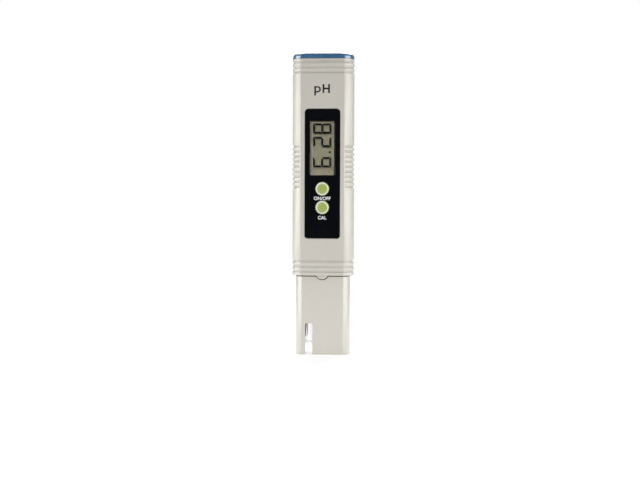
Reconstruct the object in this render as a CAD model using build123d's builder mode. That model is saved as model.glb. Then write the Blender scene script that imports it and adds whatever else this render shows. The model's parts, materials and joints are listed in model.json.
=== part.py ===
"""Pen-type pH meter, its probe cap off: two-part case, sliding battery drawer, keys, display and electrode.

Millimetres. +Z runs up the pen from the probe end to the battery cap, the keys and display face -Y,
and the origin is the centre of the probe end's rim, on which the pen can stand.
"""

import os
from math import cos, radians, sin, sqrt

from build123d import *

os.makedirs("parts", exist_ok=True)

# ---- Driving dimensions -------------------------------------------------------------------------

TOTAL_HEIGHT = 154.0
HALF_DEPTH = 7.5  # flat front to centre plane
SIDE_RADIUS = 8.3  # round flanks of the case
SIDE_CENTRE = 7.55  # their centres, either side of the middle
WALL = 1.8

# The case stands from the collar's lower edge up to the battery cap's seat.
COLLAR_Z = 40.7
CAP_SEAT_Z = 151.35
CAP_FLANK_ROUND, CAP_FRONT_ROUND = 1.6, 0.6
EDGE_ROUND = 0.4
GROOVE_WIDTH, GROOVE_DEPTH = 1.0, 0.5
RING_WIDTH, RING_HEIGHT, RING_FALL = 1.7, 0.05, 0.22  # crown above the case, and sides below it
COLLAR_LIP, TOP_LIP = 1.5, 1.15
GROOVES_EACH_END = 3

# Finger grips on the flanks
GRIP_BOTTOM_Z, GRIP_PITCH, GRIP_GROOVES = 86.1, 2.57, 9
GRIP_SPREAD = 57.0  # degrees either side of the flank's middle
GRIP_GROOVE_R, GRIP_GROOVE_DEPTH = 0.62, 0.62
GRIP_RIB_R, GRIP_RIB_HEIGHT = 1.12, 0.06

# Black face panel, its window and keys
PANEL_WIDTH, PANEL_HEIGHT, PANEL_THICK = 18.0, 66.0, 0.6
PANEL_TOP_CORNER, PANEL_BOTTOM_CORNER = 1.9, 1.5
PANEL_Z = 92.8
PANEL_DEPTH = 0.4  # face of the panel below the case's flat front
PANEL_GAP = 0.05
BEVEL = 0.6
WINDOW_WIDTH, WINDOW_HEIGHT, WINDOW_Z = 13.0, 27.9, 105.95
KEY_ZS = {"power": 85.1, "cal": 75.6}
KEY_RADIUS, KEY_FLANGE_RADIUS = 3.55, 4.4
KEY_HOLE_RADIUS = 3.72

# Display module
LCD_WIDTH, LCD_HEIGHT = 16.6, 30.4
GLASS_THICK, FILM_THICK = 0.9, 0.2
HOLDER_WIDTH, HOLDER_HEIGHT = 18.6, 32.0
HOLDER_OPENING_WIDTH, HOLDER_OPENING_HEIGHT = 9.6, 28.0
ZEBRA_WIDTH, ZEBRA_HEIGHT, ZEBRA_X = 1.3, 29.0, 7.6

# Blank label in its recess on the back
LABEL_WIDTH, LABEL_HEIGHT, LABEL_CORNER, LABEL_THICK = 17.2, 57.6, 1.3, 0.12
LABEL_RECESS, LABEL_GAP = 0.3, 0.2

# Circuit board
BOARD_WIDTH, BOARD_BOTTOM_Z, BOARD_TOP_Z, BOARD_THICK = 23.0, 57.0, 130.0, 1.2
SCREW_X, SCREW_ZS = 9.3, (61.0, 126.5)
SCREW_HOLE_R, SCREW_R, SCREW_HEAD_R = 0.85, 0.8, 1.6
BOSS_R = 1.9

# Battery drawer and its two button cells, side by side
CELL_RADIUS, CELL_THICK = 5.8, 5.4
CELL_X, CELL_Z = 6.15, 139.6
TRAY_WIDTH, TRAY_BOTTOM_Z = 25.2, 132.6
TONGUE_WIDTH, TONGUE_THICKNESS = 16.0, 3.0  # the tray's upper edge, held in the cap
PLUG_INSET, PLUG_BOTTOM_Z = 1.95, 146.4
CAP_SEAL_Z, CAP_SEAL_HEIGHT = 148.2, 1.4

# Probe housing and what it holds
HOUSING_INSET, HOUSING_WALL, HOUSING_TOP_Z = 1.9, 1.4, 54.0
BULKHEAD_BOTTOM_Z, BULKHEAD_THICK = 17.0, 2.0
POTTING_TOP_Z = 27.0
SLOT_X, SLOT_TOP_Z, SLOT_CORNER = -6.85, 16.0, 0.9
FRONT_SLOT_WIDTH, REAR_SLOT_WIDTH = 3.7, 5.6
GLASS_X, GLASS_RADIUS, GLASS_WALL, GLASS_TOP_Z = -6.85, 2.3, 0.45, 46.0
BULB_RADIUS, BULB_WALL, BULB_BOTTOM_Z = 2.6, 0.35, 4.8
PLUG_DEPTH = 3.0  # of the rubber plug in the glass tube
REFERENCE_X, REFERENCE_RADIUS, REFERENCE_WALL = 0.9, 3.1, 0.6
JUNCTION_RADIUS, JUNCTION_BOTTOM_Z = 1.1, 15.6
SENSOR_X, SENSOR_RADIUS, SENSOR_TIP_Z, SENSOR_TOP_Z = 7.4, 1.5, 8.5, 30.0
HOUSING_SEAL_Z, HOUSING_SEAL_HEIGHT = 47.3, 1.4
RETAINER_Z, RETAINER_HEIGHT, RETAINER_INSET = 50.6, 1.2, 2.4
TAB_WIDTH, TAB_DROP, TAB_RECESS = 5.9, 1.9, 0.55
# Open joint in the housing under the collar, and its width round the collar's tab
JOINT_WIDTH, JOINT_DEPTH, TAB_JOINT_WIDTH = 0.62, 0.6, 0.5
FIT = 0.02  # hairline left between two pieces bonded or pressed together

# Where the two halves of the case meet: an open line round the outside, and a tongue inside
SEAM_WIDTH, SEAM_DEPTH = 0.3, 0.3
TONGUE_THICK, TONGUE_REACH, TONGUE_BOTTOM_Z, TONGUE_TOP_Z = 0.7, 0.8, 53.5, 144.0

FRONT_Y = -HALF_DEPTH
PANEL_FACE_Y = FRONT_Y + PANEL_DEPTH
PANEL_BACK_Y = PANEL_FACE_Y + PANEL_THICK
INNER_FRONT_Y = FRONT_Y + WALL
LCD_FRONT_Y = INNER_FRONT_Y + 0.1
LCD_BACK_Y = LCD_FRONT_Y + 2 * GLASS_THICK + 2 * FILM_THICK
BOARD_Y = 0.0
BOARD_BACK_Y = BOARD_Y + BOARD_THICK
SWITCH_SIZE, SWITCH_HEIGHT = 6.0, 3.4
PLUNGER_RADIUS, PLUNGER_TOP_Y = 1.7, -4.2


# ---- Shared shapes ------------------------------------------------------------------------------


def write(piece, name):
    """Names a finished piece and writes its STEP file."""
    piece.part.label = name
    export_step(piece.part, f"parts/{name}.step")


def flat_half_width(inset):
    """Half the width of the flat front and back of the pen's section, at a distance inside it."""
    return SIDE_CENTRE + sqrt((SIDE_RADIUS - inset) ** 2 - (HALF_DEPTH - inset) ** 2)


def pen_section(inset):
    """The pen's section: flat front and back joined by round flanks, at a distance inside the case."""
    half_depth = HALF_DEPTH - inset
    flank = SIDE_CENTRE + SIDE_RADIUS - inset
    corner = flat_half_width(inset)
    with BuildSketch() as section:
        with BuildLine():
            Line((-corner, -half_depth), (corner, -half_depth))
            ThreePointArc((corner, -half_depth), (flank, 0), (corner, half_depth))
            Line((corner, half_depth), (-corner, half_depth))
            ThreePointArc((-corner, half_depth), (-flank, 0), (-corner, -half_depth))
        make_face()
    return section.sketch


def section_block(inset, bottom, top):
    """A straight block of the pen's section."""
    with BuildPart() as block:
        with BuildSketch(Plane.XY.offset(bottom)):
            add(pen_section(inset))
        extrude(amount=top - bottom)
    return block.part


def section_ring(outer_inset, inner_inset, bottom, top):
    """A band that follows the pen's section."""
    with BuildPart() as ring:
        with BuildSketch(Plane.XY.offset(bottom)):
            add(pen_section(outer_inset))
            add(pen_section(inner_inset), mode=Mode.SUBTRACT)
        extrude(amount=top - bottom)
    return ring.part


def ribbed_edge(reach):
    """Half-profile of the case from its axis out to reach, with rounded rings and grooves at both ends."""
    shoulder = EDGE_ROUND * (1 - sqrt(0.5))

    def ribs(start):
        """Grooves with a ring between each two, drawn upwards from start. Returns where they end."""
        z = start
        side = reach - RING_FALL
        for groove in range(GROOVES_EACH_END):
            last = groove == GROOVES_EACH_END - 1
            below = reach if groove == 0 else side
            above = reach if last else side
            ThreePointArc((below, z), (reach - GROOVE_DEPTH, z + GROOVE_WIDTH / 2), (above, z + GROOVE_WIDTH))
            z += GROOVE_WIDTH
            if not last:
                ThreePointArc((side, z), (reach + RING_HEIGHT, z + RING_WIDTH / 2), (side, z + RING_WIDTH))
                z += RING_WIDTH
        return z

    rib_span = GROOVES_EACH_END * GROOVE_WIDTH + (GROOVES_EACH_END - 1) * RING_WIDTH
    collar_start = COLLAR_Z + COLLAR_LIP
    top_start = CAP_SEAT_Z - TOP_LIP - rib_span
    with BuildSketch() as profile:
        with BuildLine():
            Line((0, CAP_SEAT_Z), (0, COLLAR_Z))
            Line((0, COLLAR_Z), (reach - EDGE_ROUND, COLLAR_Z))
            ThreePointArc(
                (reach - EDGE_ROUND, COLLAR_Z),
                (reach - shoulder, COLLAR_Z + shoulder),
                (reach, COLLAR_Z + EDGE_ROUND),
            )
            Line((reach, COLLAR_Z + EDGE_ROUND), (reach, collar_start))
            collar_end = ribs(collar_start)
            Line((reach, collar_end), (reach, top_start))
            top_end = ribs(top_start)
            Line((reach, top_end), (reach, CAP_SEAT_Z - EDGE_ROUND / 2))
            Line((reach, CAP_SEAT_Z - EDGE_ROUND / 2), (reach - EDGE_ROUND / 2, CAP_SEAT_Z))
            Line((reach - EDGE_ROUND / 2, CAP_SEAT_Z), (0, CAP_SEAT_Z))
        make_face()
    return profile.sketch


def cap_edge(reach):
    """Half-profile of the battery cap's head, its upper edge rounder on the flanks than in front."""
    crown = CAP_FLANK_ROUND if reach > HALF_DEPTH else CAP_FRONT_ROUND
    shoulder = crown * (1 - sqrt(0.5))
    with BuildSketch() as profile:
        with BuildLine():
            Polyline((0, TOTAL_HEIGHT), (0, CAP_SEAT_Z), (reach, CAP_SEAT_Z), (reach, TOTAL_HEIGHT - crown))
            ThreePointArc(
                (reach, TOTAL_HEIGHT - crown),
                (reach - shoulder, TOTAL_HEIGHT - shoulder),
                (reach - crown, TOTAL_HEIGHT),
            )
            Line((reach - crown, TOTAL_HEIGHT), (0, TOTAL_HEIGHT))
        make_face()
    return profile.sketch


def pen_solid(edge, bottom, top, inset=0.0):
    """Solid whose section is the pen's and whose outside follows a half-profile all the way round."""
    with BuildPart() as solid:
        for side in (-1, 1):
            flank = Plane((side * SIDE_CENTRE, 0, 0), x_dir=(0, -side, 0), z_dir=(-side, 0, 0))
            with BuildSketch(flank):
                add(edge(SIDE_RADIUS - inset))
            revolve(axis=Axis((side * SIDE_CENTRE, 0, 0), (0, 0, 1)), revolution_arc=180)
        with BuildSketch(Plane.XY.offset(bottom)):
            Rectangle(2 * SIDE_CENTRE, 2 * (SIDE_RADIUS + 1))
        extrude(amount=top - bottom)
        with BuildSketch(Plane.YZ):
            add(edge(HALF_DEPTH - inset))
            mirror(about=Plane.YZ)
        extrude(amount=SIDE_CENTRE + SIDE_RADIUS + 1, both=True, mode=Mode.INTERSECT)
    return solid.part


def half_box(side):
    """Everything in front of (-1) or behind (1) the pen's parting plane."""
    size = 400
    with BuildPart() as half:
        with BuildSketch(Plane.XY.offset(-size / 2)):
            with Locations((0, side * size / 2)):
                Rectangle(size, size)
        extrude(amount=size)
    return half.part


def seam_line():
    """The groove that follows the case's outline where its halves meet."""
    with BuildPart() as seam:
        for side in (-1, 1):
            with BuildSketch(Plane((side * SIDE_CENTRE, 0, 0), x_dir=(side, 0, 0), z_dir=(0, -side, 0))):
                with Locations((SIDE_RADIUS, (COLLAR_Z + CAP_SEAT_Z) / 2)):
                    Rectangle(2, CAP_SEAT_Z - COLLAR_Z + 1)
                add(ribbed_edge(SIDE_RADIUS - SEAM_DEPTH), mode=Mode.SUBTRACT)
            extrude(amount=SEAM_WIDTH / 2, both=True)
    return seam.part


def case_tongue(outer_inset, inner_inset, reach, slack):
    """The tongue along both flanks, or with slack the rebate that it enters."""
    with BuildPart() as tongue:
        add(section_ring(outer_inset, inner_inset, TONGUE_BOTTOM_Z - slack, TONGUE_TOP_Z + slack))
        with BuildSketch(Plane.XY.offset(TONGUE_BOTTOM_Z - 1)):
            with Locations((0, (0.1 - reach) / 2)):
                Rectangle(50, reach + 0.1)
        extrude(amount=TONGUE_TOP_Z - TONGUE_BOTTOM_Z + 2, mode=Mode.INTERSECT)
    return tongue.part


def flank_rod(radius, ring_radius, z, side):
    """A rod bent round a flank of the case, with ball ends."""
    ends = [radians((0 if side > 0 else 180) + turn) for turn in (-GRIP_SPREAD, GRIP_SPREAD)]
    with BuildPart() as rod:
        out = (cos(ends[0]), sin(ends[0]), 0)
        with BuildSketch(Plane((side * SIDE_CENTRE, 0, z), x_dir=out, z_dir=(out[1], -out[0], 0))):
            with Locations((ring_radius, 0)):
                Circle(radius)
        revolve(axis=Axis((side * SIDE_CENTRE, 0, z), (0, 0, 1)), revolution_arc=2 * GRIP_SPREAD)
        for end in ends:
            with Locations((side * SIDE_CENTRE + ring_radius * cos(end), ring_radius * sin(end), z)):
                Sphere(radius)
    return rod.part


def front_rectangle(y, width, height, z, corner=0.0):
    """A rectangle facing the front, on the plane at y, centred at height z."""
    with BuildSketch(Plane((0, y, z), x_dir=(1, 0, 0), z_dir=(0, -1, 0))) as sheet:
        if corner:
            RectangleRounded(width, height, corner)
        else:
            Rectangle(width, height)
    return sheet.sketch


def panel_outline(y, grow=0.0):
    """The face panel's outline on the plane at y, its upper corners rounder than its lower ones."""
    with BuildSketch(Plane((0, y, PANEL_Z), x_dir=(1, 0, 0), z_dir=(0, -1, 0))) as outline:
        Rectangle(PANEL_WIDTH + 2 * grow, PANEL_HEIGHT + 2 * grow)
        fillet(outline.vertices().sort_by(Axis.Y)[-2:], radius=PANEL_TOP_CORNER + grow)
        fillet(outline.vertices().sort_by(Axis.Y)[:2], radius=PANEL_BOTTOM_CORNER + grow)
    return outline.sketch


def front_circle(y, radius, x, z):
    """A circle facing the front, on the plane at y."""
    with BuildSketch(Plane((x, y, z), x_dir=(1, 0, 0), z_dir=(0, -1, 0))) as disc:
        Circle(radius)
    return disc.sketch


def tab_outline(y, grow=0.0):
    """Outline of the collar's tab on the plane at y, flat along the collar's lower edge."""
    radius = ((TAB_WIDTH / 2) ** 2 + TAB_DROP**2) / (2 * TAB_DROP)
    with BuildSketch(Plane((0, y, 0), x_dir=(1, 0, 0), z_dir=(0, -1, 0))) as outline:
        with Locations((0, COLLAR_Z - TAB_DROP + radius)):
            Circle(radius + grow)
        with Locations((0, COLLAR_Z + EDGE_ROUND)):
            Rectangle(4 * radius, 4 * radius, align=(Align.CENTER, Align.MIN), mode=Mode.SUBTRACT)
    return outline.sketch


def level_circle(z, radius, x):
    """A level circle at height z, centred at x on the pen's middle plane."""
    with BuildSketch(Plane.XY.offset(z)) as disc:
        with Locations((x, 0)):
            Circle(radius)
    return disc.sketch


# ---- Case ---------------------------------------------------------------------------------------


def case_shell(side):
    """One half of the case, hollow, with its share of the ribs, grips and housing retainer."""
    with BuildPart() as shell:
        add(pen_solid(ribbed_edge, COLLAR_Z, CAP_SEAT_Z))
        for flank in (-1, 1):
            for rib in range(GRIP_GROOVES - 1):
                z = GRIP_BOTTOM_Z + (rib + 0.5) * GRIP_PITCH
                add(flank_rod(GRIP_RIB_R, SIDE_RADIUS + GRIP_RIB_HEIGHT - GRIP_RIB_R, z, flank))
            for groove in range(GRIP_GROOVES):
                z = GRIP_BOTTOM_Z + groove * GRIP_PITCH
                groove_centre = SIDE_RADIUS + GRIP_GROOVE_R - GRIP_GROOVE_DEPTH
                add(flank_rod(GRIP_GROOVE_R, groove_centre, z, flank), mode=Mode.SUBTRACT)
        add(section_block(WALL, COLLAR_Z - 1, CAP_SEAT_Z + 1), mode=Mode.SUBTRACT)
        add(section_ring(WALL - 0.2, RETAINER_INSET, RETAINER_Z, RETAINER_Z + RETAINER_HEIGHT))
        add(seam_line(), mode=Mode.SUBTRACT)
        add(half_box(side), mode=Mode.INTERSECT)
        if side > 0:
            add(case_tongue(WALL - TONGUE_THICK, WALL - FIT, TONGUE_REACH, 0))
        else:
            rebate_inset = WALL - TONGUE_THICK - 0.05
            add(case_tongue(rebate_inset, WALL + 0.3, TONGUE_REACH + 0.05, 0.05), mode=Mode.SUBTRACT)
    return shell.part


with BuildPart() as front_shell:
    add(case_shell(-1))
    # Pocket for the face panel, with a bevelled edge
    extrude(panel_outline(FRONT_Y, PANEL_GAP), amount=-(PANEL_DEPTH + PANEL_THICK), mode=Mode.SUBTRACT)
    rim_edges = (
        front_shell.edges()
        .filter_by_position(Axis.Y, FRONT_Y - 0.01, FRONT_Y + 0.01)
        .filter_by_position(Axis.X, -PANEL_WIDTH / 2 - 0.1, PANEL_WIDTH / 2 + 0.1)
        .filter_by_position(Axis.Z, PANEL_Z - PANEL_HEIGHT / 2 - 0.1, PANEL_Z + PANEL_HEIGHT / 2 + 0.1)
    )
    chamfer(rim_edges, length=PANEL_DEPTH - 0.02, length2=BEVEL)
    # Opening behind the window, and the key holes
    extrude(
        front_rectangle(FRONT_Y, WINDOW_WIDTH + 0.6, WINDOW_HEIGHT + 0.6, WINDOW_Z),
        amount=-2 * WALL,
        mode=Mode.SUBTRACT,
    )
    for key_z in KEY_ZS.values():
        extrude(front_circle(FRONT_Y, KEY_HOLE_RADIUS, 0, key_z), amount=-2 * WALL, mode=Mode.SUBTRACT)
    # Screw bosses that carry the circuit board
    for screw_z in SCREW_ZS:
        for screw_x in (-SCREW_X, SCREW_X):
            boss_length = BOARD_Y - INNER_FRONT_Y + 0.3
            extrude(front_circle(BOARD_Y, BOSS_R, screw_x, screw_z), amount=boss_length)
            extrude(front_circle(BOARD_Y, SCREW_HOLE_R, screw_x, screw_z), amount=4.5, mode=Mode.SUBTRACT)
    # Locating tab for the probe cap, hanging from the collar
    tab_back_y = -(HALF_DEPTH - HOUSING_INSET) - 0.12
    extrude(tab_outline(tab_back_y), amount=tab_back_y - FRONT_Y - TAB_RECESS)
write(front_shell, "front_shell")

with BuildPart() as rear_shell:
    add(case_shell(1))
    # Shallow recess for a label
    with BuildSketch(Plane((0, HALF_DEPTH, PANEL_Z), x_dir=(-1, 0, 0), z_dir=(0, 1, 0))):
        RectangleRounded(LABEL_WIDTH + 2 * LABEL_GAP, LABEL_HEIGHT + 2 * LABEL_GAP, LABEL_CORNER + LABEL_GAP)
    extrude(amount=-LABEL_RECESS, mode=Mode.SUBTRACT)
write(rear_shell, "rear_shell")

with BuildPart() as rear_label:
    with BuildSketch(Plane((0, HALF_DEPTH - LABEL_RECESS + FIT, PANEL_Z), x_dir=(-1, 0, 0), z_dir=(0, 1, 0))):
        RectangleRounded(LABEL_WIDTH, LABEL_HEIGHT, LABEL_CORNER)
    extrude(amount=LABEL_THICK)
write(rear_label, "rear_label")

# ---- Face panel, window and keys ----------------------------------------------------------------

with BuildPart() as face_panel:
    extrude(panel_outline(PANEL_BACK_Y - FIT), amount=PANEL_THICK - FIT)
    chamfer(face_panel.faces().sort_by(Axis.Y)[0].edges(), length=0.12)
    extrude(
        front_rectangle(FRONT_Y, WINDOW_WIDTH, WINDOW_HEIGHT, WINDOW_Z, 0.25),
        amount=-2 * WALL,
        mode=Mode.SUBTRACT,
    )
    for key_z in KEY_ZS.values():
        extrude(front_circle(FRONT_Y, KEY_HOLE_RADIUS, 0, key_z), amount=-2 * WALL, mode=Mode.SUBTRACT)
write(face_panel, "face_panel")

with BuildPart() as display_window:
    extrude(
        front_rectangle(INNER_FRONT_Y, WINDOW_WIDTH + 0.5, WINDOW_HEIGHT + 0.5, WINDOW_Z),
        amount=WALL - PANEL_DEPTH - PANEL_THICK,
    )
    extrude(
        front_rectangle(PANEL_BACK_Y, WINDOW_WIDTH - 0.04, WINDOW_HEIGHT - 0.04, WINDOW_Z, 0.23),
        amount=PANEL_THICK - 0.03,
    )
write(display_window, "display_window")


def key_cap(z):
    """A round key: a flange behind the case wall, a stem on the switch, and a dished top with a rim."""
    top = HALF_DEPTH - 0.06
    flange_front, flange_back = -INNER_FRONT_Y - 0.06, -INNER_FRONT_Y - 0.8
    stem_radius = 1.5
    rim, dish = 0.75, 0.28
    with BuildPart() as key:
        with BuildSketch(Plane((0, 0, z), x_dir=(1, 0, 0), z_dir=(0, 0, 1))):
            with BuildLine():
                Polyline(
                    (0, PLUNGER_TOP_Y),
                    (stem_radius, PLUNGER_TOP_Y),
                    (stem_radius, -flange_back),
                    (KEY_FLANGE_RADIUS, -flange_back),
                    (KEY_FLANGE_RADIUS, -flange_front),
                    (KEY_RADIUS, -flange_front),
                    (KEY_RADIUS, -(top - 0.45)),
                )
                ThreePointArc(
                    (KEY_RADIUS, -(top - 0.45)),
                    (KEY_RADIUS - 0.16, -(top - 0.13)),
                    (KEY_RADIUS - 0.5, -top),
                )
                ThreePointArc(
                    (KEY_RADIUS - 0.5, -top),
                    (KEY_RADIUS - rim - 0.12, -(top - 0.1)),
                    (KEY_RADIUS - rim - 0.35, -(top - dish)),
                )
                Line((KEY_RADIUS - rim - 0.35, -(top - dish)), (0, -(top - dish)))
                Line((0, -(top - dish)), (0, PLUNGER_TOP_Y))
            make_face()
        revolve(axis=Axis((0, 0, z), (0, 1, 0)))
    return key


def switch_plunger(z):
    """The pin of a push switch, on which its key rests."""
    with BuildPart() as plunger:
        extrude(front_circle(-SWITCH_HEIGHT + 0.45, PLUNGER_RADIUS, 0, z),
                amount=-(SWITCH_HEIGHT - 0.45) - PLUNGER_TOP_Y)
    return plunger


def switch_body(z):
    """A surface-mounted push switch: square body with a well for the plunger, and four solder feet."""
    foot_x, foot_z = SWITCH_SIZE / 2 + 0.35, 2.0
    with BuildPart() as body:
        extrude(front_rectangle(BOARD_Y, SWITCH_SIZE, SWITCH_SIZE, z), amount=SWITCH_HEIGHT)
        chamfer(body.edges().filter_by(Axis.Y), length=0.5)
        extrude(front_circle(-SWITCH_HEIGHT, PLUNGER_RADIUS + 0.08, 0, z), amount=-1.0, mode=Mode.SUBTRACT)
        for x in (-foot_x, foot_x):
            for foot in (-foot_z, foot_z):
                with Locations((x, BOARD_Y - 0.15, z + foot)):
                    Box(0.9, 0.3, 0.8)
    return body


for key_name, key_z in KEY_ZS.items():
    write(key_cap(key_z), f"{key_name}_button")
    write(switch_plunger(key_z), f"{key_name}_switch_plunger")
    write(switch_body(key_z), f"{key_name}_switch_body")

# ---- Display module -----------------------------------------------------------------------------

polarizer_front = LCD_FRONT_Y + FILM_THICK
with BuildPart() as lcd_polarizer:
    extrude(front_rectangle(polarizer_front, LCD_WIDTH - 1.6, LCD_HEIGHT - 1.6, WINDOW_Z), amount=FILM_THICK)
write(lcd_polarizer, "lcd_polarizer")

with BuildPart() as lcd_glass:
    # Front plate, and a rear plate that is wider so that its contact edges stay open
    extrude(
        front_rectangle(polarizer_front + GLASS_THICK, LCD_WIDTH - 1.0, LCD_HEIGHT - 0.6, WINDOW_Z),
        amount=GLASS_THICK,
    )
    extrude(
        front_rectangle(polarizer_front + 2 * GLASS_THICK, LCD_WIDTH, LCD_HEIGHT, WINDOW_Z),
        amount=GLASS_THICK,
    )
write(lcd_glass, "lcd_glass")

with BuildPart() as lcd_reflector:
    extrude(
        front_rectangle(LCD_BACK_Y, 2 * ZEBRA_X - ZEBRA_WIDTH - 0.8, LCD_HEIGHT - 2, WINDOW_Z),
        amount=FILM_THICK,
    )
write(lcd_reflector, "lcd_reflector")

glass_back_y = LCD_BACK_Y - FILM_THICK
with BuildPart() as lcd_holder:
    extrude(
        front_rectangle(BOARD_Y - FIT, HOLDER_WIDTH, HOLDER_HEIGHT, WINDOW_Z, 1.0),
        amount=-INNER_FRONT_Y - 2 * FIT,
    )
    extrude(
        front_rectangle(INNER_FRONT_Y, LCD_WIDTH + 0.2, LCD_HEIGHT + 0.2, WINDOW_Z),
        amount=-(glass_back_y - INNER_FRONT_Y + FIT),
        mode=Mode.SUBTRACT,
    )
    extrude(
        front_rectangle(INNER_FRONT_Y, HOLDER_OPENING_WIDTH, HOLDER_OPENING_HEIGHT, WINDOW_Z),
        amount=-HALF_DEPTH,
        mode=Mode.SUBTRACT,
    )
    extrude(
        front_rectangle(INNER_FRONT_Y, 2 * ZEBRA_X - ZEBRA_WIDTH - 0.6, LCD_HEIGHT - 1, WINDOW_Z),
        amount=-(LCD_BACK_Y - INNER_FRONT_Y + 0.3),
        mode=Mode.SUBTRACT,
    )
    for zebra_x in (-ZEBRA_X, ZEBRA_X):
        with BuildSketch(Plane((zebra_x, INNER_FRONT_Y, WINDOW_Z), x_dir=(1, 0, 0), z_dir=(0, -1, 0))):
            Rectangle(ZEBRA_WIDTH + 3 * FIT, ZEBRA_HEIGHT + 3 * FIT)
        extrude(amount=-HALF_DEPTH, mode=Mode.SUBTRACT)
write(lcd_holder, "lcd_holder")

for zebra_name, zebra_x in (("left", -ZEBRA_X), ("right", ZEBRA_X)):
    with BuildPart() as zebra_strip:
        with BuildSketch(Plane((zebra_x, BOARD_Y - FIT, WINDOW_Z), x_dir=(1, 0, 0), z_dir=(0, -1, 0))):
            Rectangle(ZEBRA_WIDTH, ZEBRA_HEIGHT)
        extrude(amount=-glass_back_y - 2 * FIT)
    write(zebra_strip, f"zebra_strip_{zebra_name}")

# ---- Circuit board and what is on it ------------------------------------------------------------

with BuildPart() as main_board:
    board_z = (BOARD_BOTTOM_Z + BOARD_TOP_Z) / 2
    extrude(
        front_rectangle(BOARD_Y, BOARD_WIDTH, BOARD_TOP_Z - BOARD_BOTTOM_Z, board_z, 1.0),
        amount=-BOARD_THICK,
    )
    for screw_z in SCREW_ZS:
        for screw_x in (-SCREW_X, SCREW_X):
            extrude(front_circle(BOARD_Y, 1.0, screw_x, screw_z), amount=-BOARD_THICK, mode=Mode.SUBTRACT)
write(main_board, "main_board")

with BuildPart() as board_screws:
    for screw_z in SCREW_ZS:
        for screw_x in (-SCREW_X, SCREW_X):
            centre = Plane((screw_x, BOARD_BACK_Y + FIT, screw_z), x_dir=(1, 0, 0), z_dir=(0, 1, 0))
            with BuildSketch(centre):
                Circle(SCREW_HEAD_R)
            extrude(amount=0.9)
            with BuildSketch(centre):
                Circle(SCREW_R)
            extrude(amount=-(BOARD_THICK + 3.8))
            with BuildSketch(centre.offset(0.9)):
                Rectangle(1.8, 0.32)
                Rectangle(0.32, 1.8)
            extrude(amount=-0.5, mode=Mode.SUBTRACT)
write(board_screws, "board_screws")

with BuildPart() as controller_chip:
    # Bonded chip under a low dome of black resin
    dome_radius, dome_height = 5.2, 1.8
    ball_radius = (dome_radius**2 + dome_height**2) / (2 * dome_height)
    with BuildSketch(Plane((0, 0, 100), x_dir=(1, 0, 0), z_dir=(0, 0, 1))):
        with BuildLine():
            apex = (0, BOARD_BACK_Y + FIT + dome_height)
            rim = (dome_radius, BOARD_BACK_Y + FIT)
            RadiusArc(apex, rim, ball_radius)
            Polyline(rim, (0, BOARD_BACK_Y + FIT), apex)
        make_face()
    revolve(axis=Axis((0, 0, 100), (0, 1, 0)))
write(controller_chip, "controller_chip")


def board_chip(name, x, z, width, height, thick, pins, pitch, corner=0.25):
    """A flat chip on the back of the board with pins down both long sides."""
    pin_reach = 0.9
    with BuildPart() as chip:
        with Locations((x, BOARD_BACK_Y + FIT + 0.1 + thick / 2, z)):
            Box(width, thick, height)
        chamfer(chip.edges().group_by(Axis.Y)[-1], length=corner)
        for pin in range(pins):
            for side in (-1, 1):
                pin_x = x + side * (width / 2 + pin_reach / 2 - 0.05)
                with Locations((pin_x, BOARD_BACK_Y + FIT + 0.25, z + (pin - (pins - 1) / 2) * pitch)):
                    Box(pin_reach, 0.5, 0.4)
    write(chip, name)


board_chip("amplifier_chip", 1.5, 71.0, 3.9, 4.9, 1.4, 4, 1.27)
board_chip("memory_chip", -6.2, 84.0, 3.0, 4.0, 1.2, 4, 0.95)

with BuildPart() as crystal_can:
    with BuildSketch(Plane((7.5, BOARD_BACK_Y + 1.1, 88.0), x_dir=(1, 0, 0), z_dir=(0, 0, 1))):
        Circle(1.05)
    extrude(amount=6.2)
    fillet(crystal_can.edges(), radius=0.3)
write(crystal_can, "crystal_can")


def board_blocks(name, places, size):
    """Small blocks of one kind on the back of the board, each a solid of its own."""
    width, thick, height = size
    with BuildPart() as blocks:
        with Locations(*[(x, BOARD_BACK_Y + FIT + thick / 2, z) for x, z in places]):
            Box(width, thick, height)
    write(blocks, name)


capacitor_places = [(-4.0, 66.0), (6.5, 66.5), (6.5, 71.0), (-8.0, 91.5), (3.5, 112.5)]
resistor_places = [(6.5, 75.5), (6.5, 79.0), (-1.5, 78.5), (-4.5, 112.5)]
resistor_places += [(-4.5, 115.5), (0, 115.5), (7.5, 99.0), (7.5, 102.0)]
board_blocks("chip_capacitors", capacitor_places, (2.0, 1.0, 1.25))
board_blocks("chip_resistors", resistor_places, (2.0, 0.5, 1.25))
board_blocks("tantalum_capacitor", [(6.3, 118.0)], (3.5, 1.9, 2.8))

# ---- Battery drawer: cap, seal, tray and cells --------------------------------------------------

with BuildPart() as battery_cap:
    add(pen_solid(cap_edge, CAP_SEAT_Z, TOTAL_HEIGHT, inset=0.12))
    add(section_block(PLUG_INSET, PLUG_BOTTOM_Z, CAP_SEAT_Z))
    add(
        section_ring(PLUG_INSET - 0.5, PLUG_INSET + 0.9, CAP_SEAL_Z, CAP_SEAL_Z + CAP_SEAL_HEIGHT),
        mode=Mode.SUBTRACT,
    )
    # Socket for the tray's tongue
    with BuildSketch(Plane.XY.offset(PLUG_BOTTOM_Z)):
        Rectangle(TONGUE_WIDTH + 0.1, TONGUE_THICKNESS + 0.1)
    extrude(amount=3.0, mode=Mode.SUBTRACT)
write(battery_cap, "battery_cap")

with BuildPart() as battery_cap_seal:
    add(section_ring(WALL + 0.03, PLUG_INSET + 0.88, CAP_SEAL_Z + 0.05, CAP_SEAL_Z + CAP_SEAL_HEIGHT - 0.05))
    fillet(battery_cap_seal.faces().filter_by(Axis.Z).wires().edges(), radius=0.3)
write(battery_cap_seal, "battery_cap_seal")

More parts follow.
